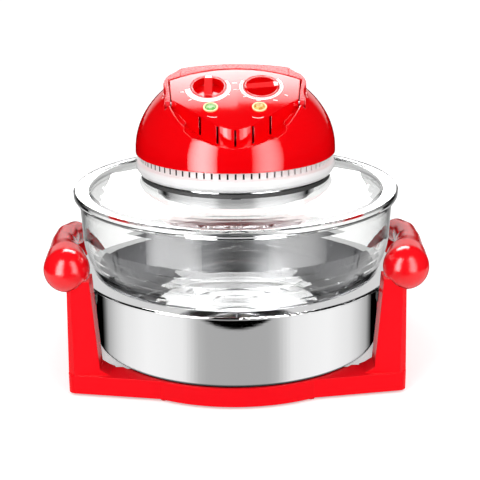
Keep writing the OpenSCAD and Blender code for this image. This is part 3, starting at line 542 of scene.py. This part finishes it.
def makeSlotShade(s):
    first, bend, deep, last = s["turns"]
    g = NodeTree("slotShadeBand", {"Steps": s["steps"], "First": float(first), "Last": float(last), "Bend": float(bend),
                               "Deep": float(deep), "Near radius": s["radii"][0], "Far radius": s["radii"][1],
                               "Thickness": s["thickness"], "Low": s["low"], "High": s["high"], "Unit": millimetre})
    unit = g.given["Unit"]
    count = g.math("ADD", g.given["Steps"], 1.0)
    path = g.node("GeometryNodeResampleCurve", {"Curve": g.node("GeometryNodeCurvePrimitiveLine", {}).outputs[0],
                                                "Count": count})
    share = g.node("GeometryNodeSplineParameter", {}).outputs["Factor"]
    turn = g.node("ShaderNodeMapRange", {"Value": share, "To Min": g.given["First"],
                                         "To Max": g.given["Last"]}).outputs[0]
    outer = g.node("ShaderNodeMapRange", {"Value": turn, "From Min": g.given["Bend"], "From Max": g.given["Deep"],
                                          "To Min": g.given["Near radius"], "To Max": g.given["Far radius"]}).outputs[0]
    reach = g.math("MULTIPLY", g.math("SUBTRACT", outer, g.math("MULTIPLY", g.given["Thickness"], 0.5)), unit)
    angle = g.math("RADIANS", turn)
    middle = g.math("MULTIPLY", g.math("ADD", g.given["Low"], g.given["High"]), g.math("MULTIPLY", unit, 0.5))
    place = g.node("ShaderNodeCombineXYZ", {"X": g.math("MULTIPLY", reach, g.math("COSINE", angle)),
                                            "Y": g.math("MULTIPLY", reach, g.math("SINE", angle)), "Z": middle})
    bent = g.node("GeometryNodeSetPosition", {"Geometry": path.outputs[0], "Position": place.outputs[0]})
    level = g.node("GeometryNodeSetCurveNormal", {"Curve": bent.outputs[0]}, mode="Z_UP")
    tall = g.math("MULTIPLY", g.math("SUBTRACT", g.given["High"], g.given["Low"]), unit)
    edge = g.node("GeometryNodeCurvePrimitiveQuadrilateral", {"Width": g.math("MULTIPLY", g.given["Thickness"], unit),
                                                              "Height": tall})
    band = g.node("GeometryNodeCurveToMesh", {"Curve": level.outputs[0], "Profile Curve": edge.outputs[0],
                                              "Fill Caps": True})
    obj = meshObject("slotShadeSheet", [(0, 0, 0)], [])
    g.bake(obj, band.outputs[0], "slotShadeBlack")
    work = bmesh.new()
    work.from_mesh(obj.data)
    bmesh.ops.recalc_face_normals(work, faces=work.faces)
    work.to_mesh(obj.data)
    work.free()
    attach(obj, "lid")


makeSlotShade(slotShadeSettings)
print("stage: print and small pieces")


# studio: plain floor and world, and cards that only reflections see
studio = {
    "worldLight": 0.86,
    "floorHalf": 6.0,
    "floorTint": 0.86,
    "floorLift": 0.45,
    "rimBehind": (0.80, 0.90),
    "rimLevels": (0.015, 1.0),
    # the world through glass: heights of the ray, then levels
    "throughLow": ((0.20, 0.27), (0.8, 0.2)),
    "throughHigh": ((0.72, 0.86), (0.0, 0.8)),
}


def glossyOnly(obj):
    for way in ("camera", "diffuse", "transmission", "shadow"):
        setattr(obj, "visible_" + way, False)


def cardPaint():
    mat = bpy.data.materials.new("cardGlow")
    mat.use_nodes = True
    tree = mat.node_tree
    tree.nodes.clear()
    out = tree.nodes.new("ShaderNodeOutputMaterial")
    level = tree.nodes.new("ShaderNodeAttribute")
    level.attribute_name = "level"
    glow = tree.nodes.new("ShaderNodeEmission")
    tree.links.new(level.outputs["Fac"], glow.inputs["Strength"])
    tree.links.new(glow.outputs[0], out.inputs["Surface"])
    return mat


cardMaterial = cardPaint()


def makeCard(name, points, levels, faces=None):
    card = meshObject(name, points, faces or [list(range(len(points)))])
    layer = card.data.attributes.new("level", "FLOAT", "POINT")
    for i in range(len(points)):
        layer.data[i].value = levels[i] if isinstance(levels, list) else levels
    card.data.materials.append(cardMaterial)
    glossyOnly(card)
    return card


# bent cards beside the camera, bright in the middle
sideBoxes = {
    "leftBox": {"from": -51.7, "to": -18.9, "level": 13.5, "fall": 0.82},
    "rightBox": {"from": 17.4, "to": 52.0, "level": 7.4, "fall": 0.88},
}
boxReach = {"distance": 0.76, "low": 0.0, "high": 1.1, "steps": 16}


def sideBox(name, s):
    points, levels, faces = [], [], []
    steps = boxReach["steps"]
    for i in range(steps + 1):
        t = 2 * i / steps - 1
        a = math.radians((s["from"] + s["to"]) / 2 + t * (s["to"] - s["from"]) / 2)
        for z in (boxReach["low"], boxReach["high"]):
            points.append((boxReach["distance"] * math.sin(a), -boxReach["distance"] * math.cos(a), z))
            levels.append(s["level"] * (1 - s["fall"] * t * t))
    for i in range(steps):
        faces.append([2 * i, 2 * i + 2, 2 * i + 3, 2 * i + 1])
    makeCard(name, points, levels, faces)


for name, settings in sideBoxes.items():
    sideBox(name, settings)

# the card overhead, split for its two edges, dimmer at the edge than behind it
topBox = {"half": 0.36, "split": 0.004, "edges": (0.265, 0.272), "full": 0.335, "far": 0.75, "height": 0.9,
          "levels": (3.0, 15.0)}


def makeTopBox(s):
    x0, x1, mid = -s["half"], s["half"], s["split"]
    for name, a, b, edge in (("topBoxLeft", x0, mid, s["edges"][0]), ("topBoxRight", mid, x1, s["edges"][1])):
        points, levels = [], []
        for y, level in ((edge, s["levels"][0]), (s["full"], s["levels"][1]), (s["far"], s["levels"][1])):
            points += [(a, y, s["height"]), (b, y, s["height"])]
            levels += [level, level]
        makeCard(name, points, levels, [[0, 1, 3, 2], [2, 3, 5, 4]])


makeTopBox(topBox)


# the table as the polished pot mirrors it: grey in front, white at the sides, black past its edges
tableSettings = {
    "count": 92,
    "sweep": 138,
    "edge": 0.345,
    "reach": 0.56,
    "spread": (31, 14),
    "levels": [(0, 0.49), (23, 0.50), (30, 0.58), (36, 0.80), (43, 1.05), (60, 1.12), (76, 1.15), (100, 1.0),
               (112, 0.80), (127, 0.48), (133, 0.16), (138, 0.03)],
}
# the table behind, for the pot's back
backTableSettings = {
    "count": 64,
    "sweep": 66,
    "reach": 0.62,
    "levels": [(0, 0.55), (30, 0.72), (46, 0.60), (66, 0.02)],
}
tablePlace = {"potRadius": 0.1475, "start": 0.002, "height": 0.0006}


def lookUp(table, value):
    for (a, low), (b, high) in zip(table, table[1:]):
        if value <= b:
            return low + (high - low) * (value - a) / (b - a)
    return table[-1][1]


# each ray leaves the pot's wall at half its turn: side is -1 in front and 1 behind
def makeTable(name, s, side):
    points, levels, faces = [], [], []
    for i in range(s["count"] + 1):
        turn = s["sweep"] * (2 * i / s["count"] - 1)
        half, a = math.radians(turn / 2), math.radians(turn)
        start = (tablePlace["potRadius"] * math.sin(half), side * tablePlace["potRadius"] * math.cos(half))
        reach = s["reach"]
        if "edge" in s:
            near = (s["edge"] + start[1]) / max(0.2, math.cos(a))
            mix = min(1, max(0, (abs(turn) - s["spread"][0]) / s["spread"][1]))
            reach = near + (reach - near) * mix
        for t in (tablePlace["start"], reach):
            points.append((start[0] + t * math.sin(a), start[1] + side * t * math.cos(a), tablePlace["height"]))
            levels.append(lookUp(s["levels"], abs(turn)))
    for i in range(s["count"]):
        face = [2 * i, 2 * i + 2, 2 * i + 3, 2 * i + 1]
        faces.append(face if side < 0 else [face[0], face[3], face[2], face[1]])
    makeCard(name, points, levels, faces)


makeTable("tableCard", tableSettings, -1)
makeTable("backTableCard", backTableSettings, 1)


def makeFloor(s):
    h = s["floorHalf"]
    floor = meshObject("floor", [(-h, -h, 0), (h, -h, 0), (h, h, 0), (-h, h, 0)], [[0, 1, 2, 3]])
    mat = bpy.data.materials.new("floorPaint")
    mat.use_nodes = True
    tree = mat.node_tree
    tree.nodes.clear()
    out = tree.nodes.new("ShaderNodeOutputMaterial")
    paint = tree.nodes.new("ShaderNodeBsdfDiffuse")
    paint.inputs["Color"].default_value = (s["floorTint"],) * 3 + (1,)
    path = tree.nodes.new("ShaderNodeLightPath")
    seen = mathNode(tree, "MAXIMUM", path.outputs["Is Camera Ray"], path.outputs["Is Transmission Ray"])
    lift = tree.nodes.new("ShaderNodeEmission")
    tree.links.new(mathNode(tree, "MULTIPLY", seen, s["floorLift"]), lift.inputs["Strength"])
    add = tree.nodes.new("ShaderNodeAddShader")
    tree.links.new(paint.outputs[0], add.inputs[0])
    tree.links.new(lift.outputs[0], add.inputs[1])
    tree.links.new(add.outputs[0], out.inputs["Surface"])
    floor.visible_glossy = False
    floor.data.materials.append(mat)


makeFloor(studio)


def makeWorld(s):
    world = bpy.data.worlds.new("studioWorld")
    bpy.context.scene.world = world
    world.use_nodes = True
    tree = world.node_tree
    tree.nodes.clear()
    out = tree.nodes.new("ShaderNodeOutputWorld")
    path = tree.nodes.new("ShaderNodeLightPath")
    seen = mathNode(tree, "MAXIMUM", path.outputs["Is Camera Ray"], path.outputs["Is Transmission Ray"])
    coords = tree.nodes.new("ShaderNodeTexCoord")
    split = tree.nodes.new("ShaderNodeSeparateXYZ")
    tree.links.new(coords.outputs["Generated"], split.inputs["Vector"])
    light = tree.nodes.new("ShaderNodeBackground")
    light.inputs["Strength"].default_value = s["worldLight"]
    glossy = tree.nodes.new("ShaderNodeBackground")
    behind = rampNode(tree, split.outputs["Y"], s["rimBehind"], s["rimLevels"])
    above = mathNode(tree, "GREATER_THAN", split.outputs["Z"], 0.0)
    tree.links.new(mathNode(tree, "MULTIPLY", behind, above), glossy.inputs["Strength"])
    straight = tree.nodes.new("ShaderNodeBackground")
    straight.inputs["Color"].default_value = (1, 1, 1, 1)
    low = rampNode(tree, split.outputs["Z"], *s["throughLow"])
    high = rampNode(tree, split.outputs["Z"], *s["throughHigh"])
    through = mathNode(tree, "MAXIMUM", mathNode(tree, "MAXIMUM", low, high), path.outputs["Is Camera Ray"])
    tree.links.new(through, straight.inputs["Strength"])
    first = tree.nodes.new("ShaderNodeMixShader")
    tree.links.new(seen, first.inputs[0])
    tree.links.new(light.outputs[0], first.inputs[1])
    tree.links.new(straight.outputs[0], first.inputs[2])
    last = tree.nodes.new("ShaderNodeMixShader")
    tree.links.new(path.outputs["Is Glossy Ray"], last.inputs[0])
    tree.links.new(first.outputs[0], last.inputs[1])
    tree.links.new(glossy.outputs[0], last.inputs[2])
    tree.links.new(last.outputs[0], out.inputs["Surface"])


makeWorld(studio)


lamps = {
    "keyLamp": {"place": (-0.9, -1.3, 1.6), "power": 14.0},
    "fillLamp": {"place": (1.1, -1.1, 1.3), "power": 9.0},
}
lampAim, lampSize = (0, 0, 0.15), 1.2


def makeLamp(name, s):
    data = bpy.data.lights.new(name, "AREA")
    data.shape = "SQUARE"
    data.size = lampSize
    data.energy = s["power"]
    lamp = bpy.data.objects.new(name, data)
    bpy.context.scene.collection.objects.link(lamp)
    lamp.location = s["place"]
    lamp.rotation_euler = (Vector(lampAim) - Vector(s["place"])).to_track_quat("-Z", "Y").to_euler()
    lamp.visible_glossy = False
    lamp.visible_transmission = False
    lamp.visible_camera = False


for name, settings in lamps.items():
    makeLamp(name, settings)

scene = bpy.context.scene
scene.view_settings.view_transform = "Standard"
scene.cycles.caustics_reflective = False
scene.cycles.max_bounces = 16
scene.cycles.transmission_bounces = 14
scene.cycles.transparent_max_bounces = 12
print("stage: studio")
